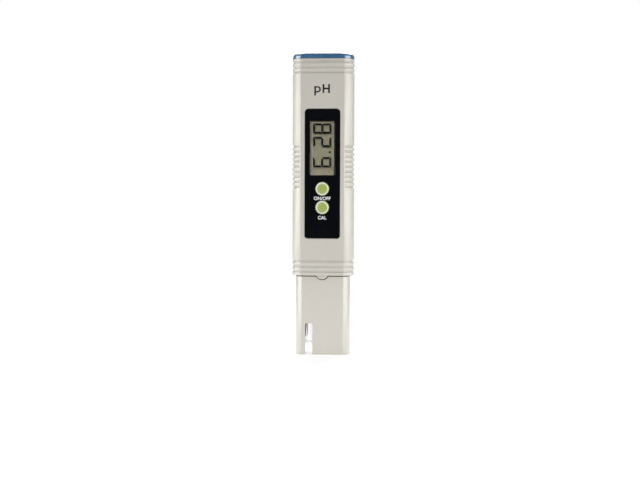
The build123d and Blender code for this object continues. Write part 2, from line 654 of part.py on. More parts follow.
with BuildPart() as battery_tray:
    with BuildSketch(Plane.XY.offset(TRAY_BOTTOM_Z)):
        RectangleRounded(TRAY_WIDTH, CELL_THICK, 1.0)
    extrude(amount=PLUG_BOTTOM_Z - FIT - TRAY_BOTTOM_Z)
    for cell_x in (-CELL_X, CELL_X):
        pocket = front_circle(CELL_THICK, CELL_RADIUS + 0.08, cell_x, CELL_Z)
        extrude(pocket, amount=2 * CELL_THICK, mode=Mode.SUBTRACT)
    with BuildSketch(Plane.XY.offset(PLUG_BOTTOM_Z - 1)):
        Rectangle(TONGUE_WIDTH, TONGUE_THICKNESS)
    extrude(amount=3.9)
write(battery_tray, "battery_tray")

for cell_name, cell_x, facing in (("left", -CELL_X, -1), ("right", CELL_X, 1)):
    with BuildPart() as button_cell:
        # The can with a smaller cap on its negative side
        can = Plane((cell_x, -facing * CELL_THICK / 2, CELL_Z), x_dir=(1, 0, 0), z_dir=(0, facing, 0))
        with BuildSketch(can):
            Circle(CELL_RADIUS)
        extrude(amount=CELL_THICK - 0.5)
        fillet(button_cell.edges(), radius=0.45)
        with BuildSketch(can.offset(CELL_THICK - 0.6)):
            Circle(CELL_RADIUS - 1.1)
        extrude(amount=0.6)
        fillet(button_cell.faces().sort_by(Axis.Y, reverse=facing > 0)[0].edges(), radius=0.2)
    write(button_cell, f"button_cell_{cell_name}")


def strip_contact(name, x, width, path, thick=0.3):
    """A bent metal strip of one width, from its path in the YZ plane."""
    with BuildPart() as strip:
        with BuildSketch(Plane((x - width / 2, 0, 0), x_dir=(0, 1, 0), z_dir=(1, 0, 0))):
            with BuildLine():
                FilletPolyline(*path, radius=0.5)
            trace(line_width=thick)
        extrude(amount=width)
    write(strip, name)


contact_y = BOARD_BACK_Y + 0.17
contact_path = [(contact_y, 123.8), (contact_y, 129.4), (3.1, 131.9), (2.95, 140.0), (3.7, 142.5)]
strip_contact("battery_contact_plus", -5.5, 3.2, contact_path)
strip_contact("battery_contact_minus", 5.5, 3.2, contact_path)
bridge_path = [(-5.52, 145.5), (-5.52, 133.4), (-4.2, 133.6), (-2.95, 139.0), (-3.6, 141.5)]
strip_contact("battery_bridge_contact", 0, 17.0, bridge_path)

# ---- Probe housing, electrode, reference and sensor ---------------------------------------------

with BuildPart() as probe_housing:
    add(section_block(HOUSING_INSET, 0, HOUSING_TOP_Z))
    add(section_block(HOUSING_INSET + HOUSING_WALL, -1, BULKHEAD_BOTTOM_Z), mode=Mode.SUBTRACT)
    add(
        section_block(HOUSING_INSET + HOUSING_WALL, BULKHEAD_BOTTOM_Z + BULKHEAD_THICK, HOUSING_TOP_Z + 1),
        mode=Mode.SUBTRACT,
    )
    # One slot through the front and one through the back, open at the rim
    for facing, slot_width in ((-1, FRONT_SLOT_WIDTH), (1, REAR_SLOT_WIDTH)):
        with BuildSketch(Plane((SLOT_X, 0, SLOT_TOP_Z), x_dir=(-facing, 0, 0), z_dir=(0, facing, 0))):
            RectangleRounded(slot_width, 2 * SLOT_TOP_Z, SLOT_CORNER, align=(Align.CENTER, Align.MAX))
        extrude(amount=HALF_DEPTH, mode=Mode.SUBTRACT)
    # Open joint under the collar and round its tab
    joint_inset = HOUSING_INSET + JOINT_DEPTH
    joint = section_ring(HOUSING_INSET - 0.5, joint_inset, COLLAR_Z - JOINT_WIDTH, COLLAR_Z + EDGE_ROUND)
    add(joint, mode=Mode.SUBTRACT)
    tab_joint = tab_outline(joint_inset - HALF_DEPTH, TAB_JOINT_WIDTH)
    extrude(tab_joint, amount=HOUSING_INSET, mode=Mode.SUBTRACT)
    # Passages through the bulkhead
    for hole_x, hole_r in (
        (GLASS_X, GLASS_RADIUS + 0.1),
        (REFERENCE_X, JUNCTION_RADIUS + 0.05),
        (SENSOR_X, SENSOR_RADIUS + 0.05),
    ):
        passage = level_circle(BULKHEAD_BOTTOM_Z, hole_r, hole_x)
        extrude(passage, amount=BULKHEAD_THICK, mode=Mode.SUBTRACT)
    # Grooves for the seal and for the retaining rib of the case
    for groove_inset, groove_z, groove_height in (
        (HOUSING_INSET + 0.7, HOUSING_SEAL_Z - 0.05, HOUSING_SEAL_HEIGHT + 0.1),
        (RETAINER_INSET + 0.1, RETAINER_Z - 0.15, RETAINER_HEIGHT + 0.3),
    ):
        groove = section_ring(HOUSING_INSET - 0.5, groove_inset, groove_z, groove_z + groove_height)
        add(groove, mode=Mode.SUBTRACT)
write(probe_housing, "probe_housing")

with BuildPart() as housing_seal:
    seal_top_z = HOUSING_SEAL_Z + HOUSING_SEAL_HEIGHT
    add(section_ring(WALL + FIT, HOUSING_INSET + 0.7 - FIT, HOUSING_SEAL_Z, seal_top_z))
write(housing_seal, "housing_seal")

with BuildPart() as glass_electrode:
    # A tube that swells into a thin bulb, open at the top
    bulb_z = BULB_BOTTOM_Z + BULB_RADIUS
    inner_bulb = BULB_RADIUS - BULB_WALL
    inner_tube = GLASS_RADIUS - GLASS_WALL
    neck_z = bulb_z + sqrt(BULB_RADIUS**2 - GLASS_RADIUS**2)
    inner_neck_z = bulb_z + sqrt(inner_bulb**2 - inner_tube**2)
    with BuildSketch(Plane((GLASS_X, 0, 0), x_dir=(1, 0, 0), z_dir=(0, -1, 0))):
        with BuildLine():
            ThreePointArc((0, BULB_BOTTOM_Z), (BULB_RADIUS, bulb_z), (GLASS_RADIUS, neck_z))
            Line((GLASS_RADIUS, neck_z), (GLASS_RADIUS, GLASS_TOP_Z))
            Line((GLASS_RADIUS, GLASS_TOP_Z), (inner_tube, GLASS_TOP_Z))
            Line((inner_tube, GLASS_TOP_Z), (inner_tube, inner_neck_z))
            ThreePointArc((inner_tube, inner_neck_z), (inner_bulb, bulb_z), (0, BULB_BOTTOM_Z + BULB_WALL))
            Line((0, BULB_BOTTOM_Z + BULB_WALL), (0, BULB_BOTTOM_Z))
        make_face()
    revolve(axis=Axis((GLASS_X, 0, 0), (0, 0, 1)))
write(glass_electrode, "glass_electrode")

with BuildPart() as electrode_wire:
    wire_bottom = BULB_BOTTOM_Z + 4.7
    wire_length = GLASS_TOP_Z - PLUG_DEPTH - FIT - wire_bottom
    extrude(level_circle(wire_bottom, 0.15, GLASS_X - 0.85), amount=wire_length)
    fillet(electrode_wire.edges().sort_by(Axis.Z)[0], radius=0.06)
write(electrode_wire, "electrode_wire")

with BuildPart() as electrode_plug:
    # A stem in the tube's mouth under a head as wide as the tube
    stem = level_circle(GLASS_TOP_Z - PLUG_DEPTH, GLASS_RADIUS - GLASS_WALL - FIT, GLASS_X)
    extrude(stem, amount=PLUG_DEPTH + 1)
    extrude(level_circle(GLASS_TOP_Z + FIT, GLASS_RADIUS, GLASS_X), amount=2)
write(electrode_plug, "electrode_plug")

reference_bottom = BULKHEAD_BOTTOM_Z + BULKHEAD_THICK + FIT
with BuildPart() as reference_tube:
    reference_floor = 1.5
    outside = level_circle(reference_bottom, REFERENCE_RADIUS, REFERENCE_X)
    extrude(outside, amount=GLASS_TOP_Z - reference_bottom)
    bore = level_circle(reference_bottom + reference_floor, REFERENCE_RADIUS - REFERENCE_WALL, REFERENCE_X)
    extrude(bore, amount=GLASS_TOP_Z, mode=Mode.SUBTRACT)
    seat = level_circle(reference_bottom, JUNCTION_RADIUS + FIT, REFERENCE_X)
    extrude(seat, amount=reference_floor, mode=Mode.SUBTRACT)
write(reference_tube, "reference_tube")

with BuildPart() as ceramic_junction:
    junction_length = reference_bottom + 2 * reference_floor - JUNCTION_BOTTOM_Z
    extrude(level_circle(JUNCTION_BOTTOM_Z, JUNCTION_RADIUS, REFERENCE_X), amount=junction_length)
    fillet(ceramic_junction.edges().sort_by(Axis.Z)[0], radius=0.35)
write(ceramic_junction, "ceramic_junction")

reference_plug_z = GLASS_TOP_Z - 2
with BuildPart() as reference_wire:
    wire_bottom = 24.0
    extrude(level_circle(wire_bottom, 0.4, REFERENCE_X), amount=reference_plug_z - FIT - wire_bottom)
write(reference_wire, "reference_wire")

with BuildPart() as reference_plug:
    extrude(level_circle(reference_plug_z, REFERENCE_RADIUS - REFERENCE_WALL - FIT, REFERENCE_X), amount=3)
write(reference_plug, "reference_plug")

with BuildPart() as temperature_sensor:
    extrude(level_circle(SENSOR_TIP_Z, SENSOR_RADIUS, SENSOR_X), amount=SENSOR_TOP_Z - SENSOR_TIP_Z)
    fillet(temperature_sensor.edges().sort_by(Axis.Z)[0], radius=1.3)
write(temperature_sensor, "temperature_sensor")

with BuildPart() as potting_block:
    add(section_block(HOUSING_INSET + HOUSING_WALL + FIT, reference_bottom, POTTING_TOP_Z))
    for hole_x, hole_r in (
        (GLASS_X, GLASS_RADIUS + FIT),
        (REFERENCE_X, REFERENCE_RADIUS + FIT),
        (SENSOR_X, SENSOR_RADIUS + FIT),
    ):
        extrude(level_circle(BULKHEAD_BOTTOM_Z, hole_r, hole_x), amount=POTTING_TOP_Z, mode=Mode.SUBTRACT)
write(potting_block, "potting_block")


def lead(name, routes, radius):
    """Insulated wires from the electrodes to the back of the circuit board, one solid for each route."""
    with BuildPart() as wires:
        for route in routes:
            with BuildLine() as line:
                FilletPolyline(*route, radius=2.0)
            with BuildSketch(Plane(line.line @ 0, z_dir=line.line % 0)):
                Circle(radius)
            sweep(path=line.line)
    write(wires, name)


solder_y = BOARD_BACK_Y + 0.55
electrode_route = [
    (GLASS_X, 0, GLASS_TOP_Z + 2.1),
    (GLASS_X, 0, 52.5),
    (-6.0, solder_y + 0.15, 57),
    (-6.0, solder_y + 0.15, 64),
]
reference_route = [
    (REFERENCE_X, 0, GLASS_TOP_Z + 1.1),
    (REFERENCE_X, 0, 52),
    (0.2, solder_y, 57),
    (0.2, solder_y, 64),
]
sensor_routes = [
    [
        (SENSOR_X + apart, 0, SENSOR_TOP_Z + 0.1),
        (SENSOR_X + apart, 0, 51),
        (4.6 + 1.6 * apart, solder_y, 57),
        (4.6 + 1.6 * apart, solder_y, 62),
    ]
    for apart in (-0.6, 0.6)
]
lead("electrode_lead", [electrode_route], 0.6)
lead("reference_lead", [reference_route], 0.45)
lead("sensor_leads", sensor_routes, 0.4)
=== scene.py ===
"""Looks of a pen-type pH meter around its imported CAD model. Metres, +Z up the pen, its front facing -Y."""

import json
import math

import bpy
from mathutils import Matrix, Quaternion, Vector


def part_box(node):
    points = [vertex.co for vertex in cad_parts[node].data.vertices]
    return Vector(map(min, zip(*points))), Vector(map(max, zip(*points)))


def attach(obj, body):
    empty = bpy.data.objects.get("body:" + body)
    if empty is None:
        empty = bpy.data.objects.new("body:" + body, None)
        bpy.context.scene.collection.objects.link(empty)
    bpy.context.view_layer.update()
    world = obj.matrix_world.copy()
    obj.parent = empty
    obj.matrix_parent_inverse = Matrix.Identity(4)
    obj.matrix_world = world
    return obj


MM = 0.001

INK_THICK = 0.014 * MM
CASE_HALF_DEPTH = 7.5 * MM
FLANK_CENTRE = 7.55 * MM  # centres of the round flanks, either side of the middle
TAB_HALF_WIDTH, TAB_DROP = 2.95 * MM, 1.9 * MM
JOINT_WIDTH, TAB_JOINT_WIDTH = 0.62 * MM, 0.5 * MM  # open joint under the collar and round its tab

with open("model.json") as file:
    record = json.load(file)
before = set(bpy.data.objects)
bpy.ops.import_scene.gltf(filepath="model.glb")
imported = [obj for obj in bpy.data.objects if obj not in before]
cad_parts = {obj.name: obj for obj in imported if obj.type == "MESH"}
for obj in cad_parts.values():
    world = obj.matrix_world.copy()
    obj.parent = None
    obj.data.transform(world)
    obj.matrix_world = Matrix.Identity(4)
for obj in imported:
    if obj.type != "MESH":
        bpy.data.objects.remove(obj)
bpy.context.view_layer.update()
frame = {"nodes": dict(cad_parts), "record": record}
scene = bpy.context.scene
scene.view_settings.view_transform = "Standard"


# ---- Material building --------------------------------------------------------------------------


class Finish:
    """A material around one Principled shader, with short calls for the nodes that the finishes share."""

    def __init__(self, name):
        self.material = bpy.data.materials.new(name)
        self.material.use_nodes = True
        self.tree = self.material.node_tree
        self.shader = self.tree.nodes["Principled BSDF"]
        self.output = self.tree.nodes["Material Output"]
        self.place = self.node("ShaderNodeTexCoord").outputs["Object"]

    def node(self, kind, **settings):
        made = self.tree.nodes.new(kind)
        for name, value in settings.items():
            setattr(made, name, value)
        return made

    def link(self, source, target):
        self.tree.links.new(source, target)

    def fill(self, target, value):
        """Puts a number or a colour on a socket, or links what another node gives."""
        if isinstance(value, bpy.types.NodeSocket):
            self.link(value, target)
        elif isinstance(value, (tuple, list)) and len(value) == 3 and target.type == "RGBA":
            target.default_value = (*value, 1)
        else:
            target.default_value = value

    def set(self, **sockets):
        """Sets the shader's sockets by name, with _ for a space."""
        for name, value in sockets.items():
            self.fill(self.shader.inputs[name.replace("_", " ")], value)
        return self

    def stretched(self, scale):
        """Object coordinates scaled along each axis, so that a noise draws out into grain."""
        mapping = self.node("ShaderNodeMapping")
        mapping.inputs["Scale"].default_value = scale
        self.link(self.place, mapping.inputs["Vector"])
        return mapping.outputs["Vector"]

    def noise(self, size_mm, detail=3.0, rough=0.5, along=None):
        """Noise whose features are about size_mm across."""
        texture = self.node("ShaderNodeTexNoise")
        texture.inputs["Scale"].default_value = 1 / (size_mm * MM)
        texture.inputs["Detail"].default_value = detail
        texture.inputs["Roughness"].default_value = rough
        self.link(self.place if along is None else self.stretched(along), texture.inputs["Vector"])
        return texture.outputs["Fac"]

    def cells(self, size_mm):
        """Distance to the nearest of scattered points, about size_mm apart."""
        texture = self.node("ShaderNodeTexVoronoi")
        texture.inputs["Scale"].default_value = 1 / (size_mm * MM)
        self.link(self.place, texture.inputs["Vector"])
        return texture.outputs["Distance"]

    def span(self, value, low, high, start=0.0, end=1.0):
        """value taken from start..end to low..high, held at both ends."""
        mapped = self.node("ShaderNodeMapRange")
        for name, number in (("From Min", start), ("From Max", end), ("To Min", low), ("To Max", high)):
            mapped.inputs[name].default_value = number
        self.fill(mapped.inputs["Value"], value)
        return mapped.outputs["Result"]

    def math(self, operation, first, second=0.0):
        node = self.node("ShaderNodeMath", operation=operation)
        self.fill(node.inputs[0], first)
        self.fill(node.inputs[1], second)
        return node.outputs[0]

    def blend(self, factor, first, second, mode="MIX"):
        """Mixes two colours."""
        mixer = self.node("ShaderNodeMix", data_type="RGBA", blend_type=mode)
        self.fill(mixer.inputs["Factor"], factor)
        self.fill(mixer.inputs["A"], first)
        self.fill(mixer.inputs["B"], second)
        return mixer.outputs["Result"]

    def axis(self, name):
        """One coordinate of the place on the object, in metres."""
        split = self.node("ShaderNodeSeparateXYZ")
        self.link(self.place, split.inputs[0])
        return split.outputs[name]

    def bump(self, *layers):
        """Bump from (height, depth in mm) pairs, one on top of the other."""
        normal = None
        for height, depth_mm in layers:
            bump = self.node("ShaderNodeBump")
            bump.inputs["Strength"].default_value = 1.0
            bump.inputs["Distance"].default_value = depth_mm * MM
            self.link(height, bump.inputs["Height"])
            if normal is not None:
                self.link(normal, bump.inputs["Normal"])
            normal = bump.outputs["Normal"]
        self.link(normal, self.shader.inputs["Normal"])
        return self

    def lamps_pass(self, tint):
        """Lets light from the lamps through clear glass, tinted as it goes."""
        path = self.node("ShaderNodeLightPath")
        clear = self.node("ShaderNodeBsdfTransparent")
        clear.inputs["Color"].default_value = (*tint, 1)
        mixer = self.node("ShaderNodeMixShader")
        self.link(path.outputs["Is Shadow Ray"], mixer.inputs[0])
        self.link(self.shader.outputs[0], mixer.inputs[1])
        self.link(clear.outputs[0], mixer.inputs[2])
        self.link(mixer.outputs[0], self.output.inputs["Surface"])
        return self


def shade(colour, factor):
    """A colour made lighter or darker."""
    return tuple(channel * factor for channel in colour)


# How far the ambient occlusion test for the painted shade in grooves looks.
GROOVE_SHADE_REACH = 0.9 * MM


def moulded(name, colour, roughness, grain_mm=0.22, depth_mm=0.004, flow=0.03, groove_shade=0.0):
    """Injection-moulded plastic: fine eroded grain, faint flow marks and wear in its gloss. Grooves, seams
    and recesses are darkened with painted shade where an ambient occlusion test finds them, the more the
    larger the last argument."""
    finish = Finish(name)
    flow_marks = finish.noise(9, 4, 0.55, along=(1, 1, 0.35))
    pores = finish.noise(grain_mm, 3, 0.6)
    tone = finish.blend(flow_marks, shade(colour, 1 - flow), shade(colour, 1 + flow))
    speckled = finish.blend(finish.span(pores, 0, 0.12, 0.35, 0.75), tone, shade(colour, 0.9))
    # Painted shade: the colour darkens where the ambient occlusion test finds grooves, seams and recesses.
    if groove_shade:
        open_sky = finish.node("ShaderNodeAmbientOcclusion")
        open_sky.samples = 8
        open_sky.inputs["Distance"].default_value = GROOVE_SHADE_REACH
        painted_groove_shade = finish.span(open_sky.outputs["AO"], groove_shade, 0, 0.35, 0.92)
        speckled = finish.blend(painted_groove_shade, speckled, shade(colour, 0.3))
    handled = finish.noise(3.5, 5, 0.6)
    finish.set(
        Base_Color=speckled,
        Roughness=finish.span(handled, roughness - 0.05, roughness + 0.07, 0.3, 0.7),
        IOR=1.5,
    )
    return finish.bump((pores, depth_mm), (finish.noise(5, 2), 0.02))


def metal(name, colour, roughness, grain=(1, 1, 14), scratches=0.5):
    """Plated or drawn metal with fine directional scratches."""
    finish = Finish(name)
    drawn = finish.noise(0.5, 4, 0.65, along=grain)
    stain = finish.noise(2.2, 4, 0.6)
    finish.set(
        Base_Color=finish.blend(stain, shade(colour, 0.86), shade(colour, 1.06)),
        Metallic=1.0,
        Roughness=finish.span(drawn, roughness - 0.07, roughness + 0.1 * scratches, 0.3, 0.7),
    )
    return finish.bump((drawn, 0.0015 * scratches))


def elastic(name, colour, roughness=0.55, coat=0.0):
    """Rubber, silicone or wire insulation."""
    finish = Finish(name)
    bloom = finish.noise(1.6, 4, 0.6)
    finish.set(
        Base_Color=finish.blend(bloom, shade(colour, 0.88), shade(colour, 1.1)),
        Roughness=finish.span(bloom, roughness - 0.06, roughness + 0.08, 0.3, 0.7),
        IOR=1.43,
        Coat_Weight=coat,
    )
    return finish.bump((finish.noise(0.14, 2), 0.003))


def clear(name, tint, ior, ripple_mm=0.0015, roughness=0.0):
    """Clear glass or plastic that lets the lamps through."""
    finish = Finish(name)
    finish.set(Base_Color=tint, Roughness=roughness, IOR=ior, Transmission_Weight=1.0)
    finish.bump((finish.noise(6, 2), ripple_mm))
    return finish.lamps_pass(tint)


# ---- Finishes of the outside --------------------------------------------------------------------

CASE_COLOUR = (0.63, 0.605, 0.545)
HOUSING_COLOUR = (0.66, 0.635, 0.575)
CAP_BLUE = (0.048, 0.135, 0.27)
KEY_GREEN = (0.41, 0.495, 0.105)
KEY_GREEN_EDGE = (0.44, 0.5, 0.24)
# Pale rim colour: a painted highlight.
KEY_RIM_HIGHLIGHT = (0.8, 0.85, 0.64)
KEY_RIM_INSIDE, KEY_RIM_OUTSIDE, KEY_RIM_FADE = 2.4 * MM, 3.2 * MM, 0.42 * MM
KEY_EDGE_START, KEY_RIM_WANDER = 1.2 * MM, 0.1 * MM
LABEL_INSET, LABEL_LINE = 1.0 * MM, 0.14 * MM


def case_plastic():
    # With painted shade in its grooves and seams.
    return moulded("case_plastic", CASE_COLOUR, 0.36, groove_shade=0.55).material


def housing_plastic():
    # With painted shade in its grooves and seams, a little less.
    return moulded("housing_plastic", HOUSING_COLOUR, 0.33, groove_shade=0.4).material


def cap_plastic():
    finish = moulded("cap_plastic", CAP_BLUE, 0.22, grain_mm=0.3, depth_mm=0.002, flow=0.06)
    return finish.set(Coat_Weight=1.0, Coat_IOR=1.5, Coat_Roughness=0.1).material


def panel_plastic():
    """Gloss black, with the faint ripple of moulded acrylic and the haze that fingers leave."""
    finish = Finish("panel_plastic")
    haze = finish.noise(4.5, 5, 0.65)
    dust = finish.math("LESS_THAN", finish.cells(1.9), 0.045)
    finish.set(
        Base_Color=finish.blend(dust, (0.002, 0.0024, 0.0034), (0.018, 0.018, 0.019)),
        Roughness=finish.span(haze, 0.07, 0.17, 0.35, 0.7),
        IOR=1.49,
    )
    return finish.bump((finish.noise(7, 2), 0.006)).material


def key_silicone(key_z):
    """Green key whose raised rim is painted pale as a highlight, with painted shade round the rim's outer
    edge and down the side wall.
    """
    finish = Finish("key_silicone")
    across = finish.axis("X")
    up = finish.math("SUBTRACT", finish.axis("Z"), key_z)
    reach = finish.math(
        "SQRT", finish.math("ADD", finish.math("MULTIPLY", across, across), finish.math("MULTIPLY", up, up))
    )
    mottle = finish.noise(0.9, 4, 0.6)
    wander = finish.math("ADD", reach, finish.span(mottle, -KEY_RIM_WANDER, KEY_RIM_WANDER, 0.3, 0.7))
    inside = finish.span(wander, 0, 1, KEY_RIM_INSIDE, KEY_RIM_INSIDE + KEY_RIM_FADE)
    # Painted shade from here outwards, over the rim's outer edge and the side wall.
    outside = finish.span(wander, 0, 1, KEY_RIM_OUTSIDE, KEY_RIM_OUTSIDE + KEY_RIM_FADE / 2)
    # The green turns paler towards the rim.
    pale = finish.blend(finish.span(wander, 0, 1, KEY_EDGE_START, KEY_RIM_INSIDE), KEY_GREEN, KEY_GREEN_EDGE)
    green = finish.blend(finish.span(mottle, 0, 0.25), pale, shade(KEY_GREEN, 0.7))
    finish.set(
        # Painted pale highlight on the rim, painted dark shade beyond it.
        Base_Color=finish.blend(outside, finish.blend(inside, green, KEY_RIM_HIGHLIGHT), shade(KEY_GREEN, 0.25)),
        Roughness=finish.span(mottle, 0.34, 0.5, 0.3, 0.7),
        IOR=1.43,
    )
    return finish.bump((finish.noise(0.12, 2), 0.003)).material


def label_foil():
    """Blank silver-white label with a printed border and two rules across it."""
    low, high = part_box("rear_label")
    centre, half = (low + high) / 2, (high - low) / 2
    finish = Finish("label_foil")
    across = finish.math("ABSOLUTE", finish.math("SUBTRACT", finish.axis("X"), centre.x))
    along = finish.math("ABSOLUTE", finish.math("SUBTRACT", finish.axis("Z"), centre.z))
    over_x = finish.math("SUBTRACT", across, half.x - LABEL_INSET)
    over_z = finish.math("SUBTRACT", along, half.z - LABEL_INSET)
    outside = finish.math("MAXIMUM", over_x, over_z)
    border = finish.math("LESS_THAN", finish.math("ABSOLUTE", outside), LABEL_LINE)
    from_rule = finish.math("ABSOLUTE", finish.math("SUBTRACT", along, half.z / 3))
    near_rule = finish.math("LESS_THAN", from_rule, LABEL_LINE / 2)
    rule = finish.math("MULTIPLY", near_rule, finish.math("LESS_THAN", outside, 0))
    fibres = finish.noise(0.35, 3, 0.6, along=(1, 1, 0.15))
    paper = finish.blend(fibres, (0.66, 0.66, 0.64), (0.74, 0.74, 0.72))
    finish.set(
        Base_Color=finish.blend(finish.math("MAXIMUM", border, rule), paper, (0.12, 0.13, 0.14)),
        Roughness=finish.span(fibres, 0.28, 0.42, 0.3, 0.7),
        Metallic=0.25,
    )
    return finish.bump((fibres, 0.002)).material


# ---- Finishes of the display --------------------------------------------------------------------


def window_acrylic():
    return clear("window_acrylic", (0.985, 0.985, 0.98), 1.49, 0.003).material


def lcd_glass():
    return clear("lcd_glass", (0.985, 0.99, 0.98), 1.52, 0.0005).material


def lcd_film():
    """Polarising film: grey, see-through, with a satin face."""
    finish = Finish("lcd_film")
    satin = finish.noise(0.3, 3, 0.6)
    finish.set(
        Base_Color=(0.05, 0.05, 0.045),
        Roughness=finish.span(satin, 0.22, 0.34, 0.3, 0.7),
        IOR=1.45,
    )
    through = finish.node("ShaderNodeBsdfTransparent")
    through.inputs["Color"].default_value = (0.985, 0.985, 0.97, 1)
    mixer = finish.node("ShaderNodeMixShader")
    finish.link(finish.span(satin, 0.02, 0.05, 0.3, 0.7), mixer.inputs[0])
    finish.link(through.outputs[0], mixer.inputs[1])
    finish.link(finish.shader.outputs[0], mixer.inputs[2])
    finish.link(mixer.outputs[0], finish.output.inputs["Surface"])
    return finish.material


def reflector_film():
    """Embossed reflector behind the display, olive grey."""
    finish = Finish("reflector_film")
    cloud = finish.noise(6, 3, 0.5)
    pebble = finish.cells(0.16)
    finish.set(
        Base_Color=finish.blend(cloud, (0.86, 0.825, 0.69), (0.94, 0.905, 0.76)),
        Roughness=finish.span(pebble, 0.45, 0.6, 0.0, 0.6),
    )
    return finish.bump((pebble, 0.004)).material


def lcd_ink():
    """Dark crystal of a segment that is switched on."""
    finish = Finish("lcd_ink")
    cloud = finish.noise(0.8, 3, 0.5)
    finish.set(
        Base_Color=finish.blend(cloud, (0.003, 0.003, 0.003), (0.008, 0.008, 0.007)),
        Roughness=0.5,
        Specular_IOR_Level=0.1,
    )
    return finish.material


def print_ink(name, colour):
    """Pad-printed ink, slightly uneven."""
    finish = Finish(name)
    grain = finish.noise(0.12, 3, 0.6)
    finish.set(
        Base_Color=finish.blend(grain, shade(colour, 0.88), shade(colour, 1.08)),
        Roughness=finish.span(grain, 0.38, 0.5, 0.3, 0.7),
    )
    return finish.bump((grain, 0.002)).material


def zebra_rubber():
    """Elastomer connector: pale silicone with carbon layers across it."""
    finish = Finish("zebra_rubber")
    layers = finish.node("ShaderNodeTexWave", wave_type="BANDS", bands_direction="Z")
    layers.inputs["Scale"].default_value = 1000
    finish.link(finish.place, layers.inputs["Vector"])
    finish.set(
        Base_Color=finish.blend(finish.span(layers.outputs["Fac"], 0, 1, 0.4, 0.6), (0.02, 0.02, 0.02),
                                (0.6, 0.6, 0.58)),
        Roughness=0.6,
    )
    return finish.material


# ---- Finishes of the inside ---------------------------------------------------------------------


def board_laminate():
    """Green solder mask over glass weave, with the tracks showing as ridges."""
    finish = Finish("board_laminate")
    weave = finish.noise(0.35, 2, 0.5)
    tracks = finish.node("ShaderNodeTexBrick")
    tracks.inputs["Scale"].default_value = 320
    tracks.inputs["Mortar Size"].default_value = 0.06
    turned = finish.node("ShaderNodeMapping")
    turned.inputs["Rotation"].default_value = (math.pi / 2, 0, 0)
    finish.link(finish.place, turned.inputs["Vector"])
    finish.link(turned.outputs["Vector"], tracks.inputs["Vector"])
    mask = finish.blend(weave, (0.008, 0.085, 0.03), (0.014, 0.12, 0.045))
    finish.set(
        Base_Color=finish.blend(tracks.outputs["Fac"], mask, (0.03, 0.2, 0.08)),
        Roughness=finish.span(weave, 0.22, 0.34, 0.3, 0.7),
        Coat_Weight=0.4,
    )
    return finish.bump((tracks.outputs["Fac"], 0.02), (weave, 0.003)).material


def chip_resin():
    return moulded("chip_resin", (0.02, 0.02, 0.022), 0.5, grain_mm=0.1, depth_mm=0.004).material


def potting_resin():
    """Black epoxy with a meniscus gloss and a few bubbles."""
    finish = Finish("potting_resin")
    bubbles = finish.span(finish.cells(1.4), 0, 1, 0.06, 0.12)
    finish.set(
        Base_Color=finish.blend(bubbles, (0.09, 0.09, 0.09), (0.018, 0.018, 0.02)),
        Roughness=finish.span(finish.noise(2.5), 0.12, 0.24, 0.3, 0.7),
    )
    return finish.bump((bubbles, 0.03)).material


def electrode_fill():
    """Filling solution, faintly violet."""
    return clear("electrode_fill", (0.97, 0.95, 0.99), 1.34, 0.0003).material


def junction_ceramic():
    """Porous white ceramic."""
    finish = Finish("junction_ceramic")
    pores = finish.noise(0.09, 4, 0.7)
    finish.set(
        Base_Color=finish.blend(finish.span(pores, 0, 1, 0.35, 0.6), (0.6, 0.58, 0.54), (0.86, 0.85, 0.81)),
        Roughness=0.82,
    )
    return finish.bump((pores, 0.02)).material


FINISHES = {
    "case_plastic": case_plastic,
    "housing_plastic": housing_plastic,
    "label_foil": label_foil,
    "cap_plastic": cap_plastic,
    "panel_plastic": panel_plastic,
    "window_acrylic": window_acrylic,
    "seal_rubber": lambda: elastic("seal_rubber", (0.018, 0.018, 0.019), 0.42).material,
    "lcd_glass": lcd_glass,
    "lcd_film": lcd_film,
    "reflector_film": reflector_film,
    "holder_plastic": lambda: moulded("holder_plastic", (0.72, 0.72, 0.7), 0.4).material,
    "zebra_rubber": zebra_rubber,
    "board_laminate": board_laminate,
    "screw_steel": lambda: metal("screw_steel", (0.6, 0.6, 0.58), 0.3).material,
    "switch_plastic": lambda: moulded("switch_plastic", (0.03, 0.03, 0.03), 0.45).material,
    "plunger_plastic": lambda: moulded("plunger_plastic", (0.42, 0.06, 0.035), 0.4).material,
    "chip_resin": chip_resin,
    "crystal_metal": lambda: metal("crystal_metal", (0.62, 0.62, 0.6), 0.25).material,
    "capacitor_ceramic": lambda: moulded("capacitor_ceramic", (0.42, 0.3, 0.19), 0.45, 0.1).material,
    "resistor_ceramic": lambda: moulded("resistor_ceramic", (0.03, 0.03, 0.032), 0.35, 0.1).material,
    "tantalum_resin": lambda: moulded("tantalum_resin", (0.6, 0.36, 0.05), 0.4, 0.1).material,
    "contact_metal": lambda: metal("contact_metal", (0.68, 0.65, 0.58), 0.28).material,
    "cell_steel": lambda: metal("cell_steel", (0.66, 0.66, 0.64), 0.26, grain=(6, 6, 6)).material,
    "electrode_glass": lambda: clear("electrode_glass", (0.985, 0.98, 0.99), 1.47, 0.002).material,
    "electrode_metal": lambda: metal("electrode_metal", (0.6, 0.57, 0.6), 0.5).material,
    "plug_rubber": lambda: elastic("plug_rubber", (0.08, 0.08, 0.08)).material,
    "reference_plastic": lambda: moulded("reference_plastic", (0.7, 0.7, 0.68), 0.35).material,
    "junction_ceramic": junction_ceramic,
    "sensor_steel": lambda: metal("sensor_steel", (0.6, 0.6, 0.59), 0.24).material,
    "potting_resin": potting_resin,
    "coax_jacket": lambda: elastic("coax_jacket", (0.025, 0.025, 0.026), 0.45).material,
    "wire_white": lambda: elastic("wire_white", (0.68, 0.68, 0.66), 0.4).material,
    "wire_red": lambda: elastic("wire_red", (0.42, 0.025, 0.018), 0.4).material,
}


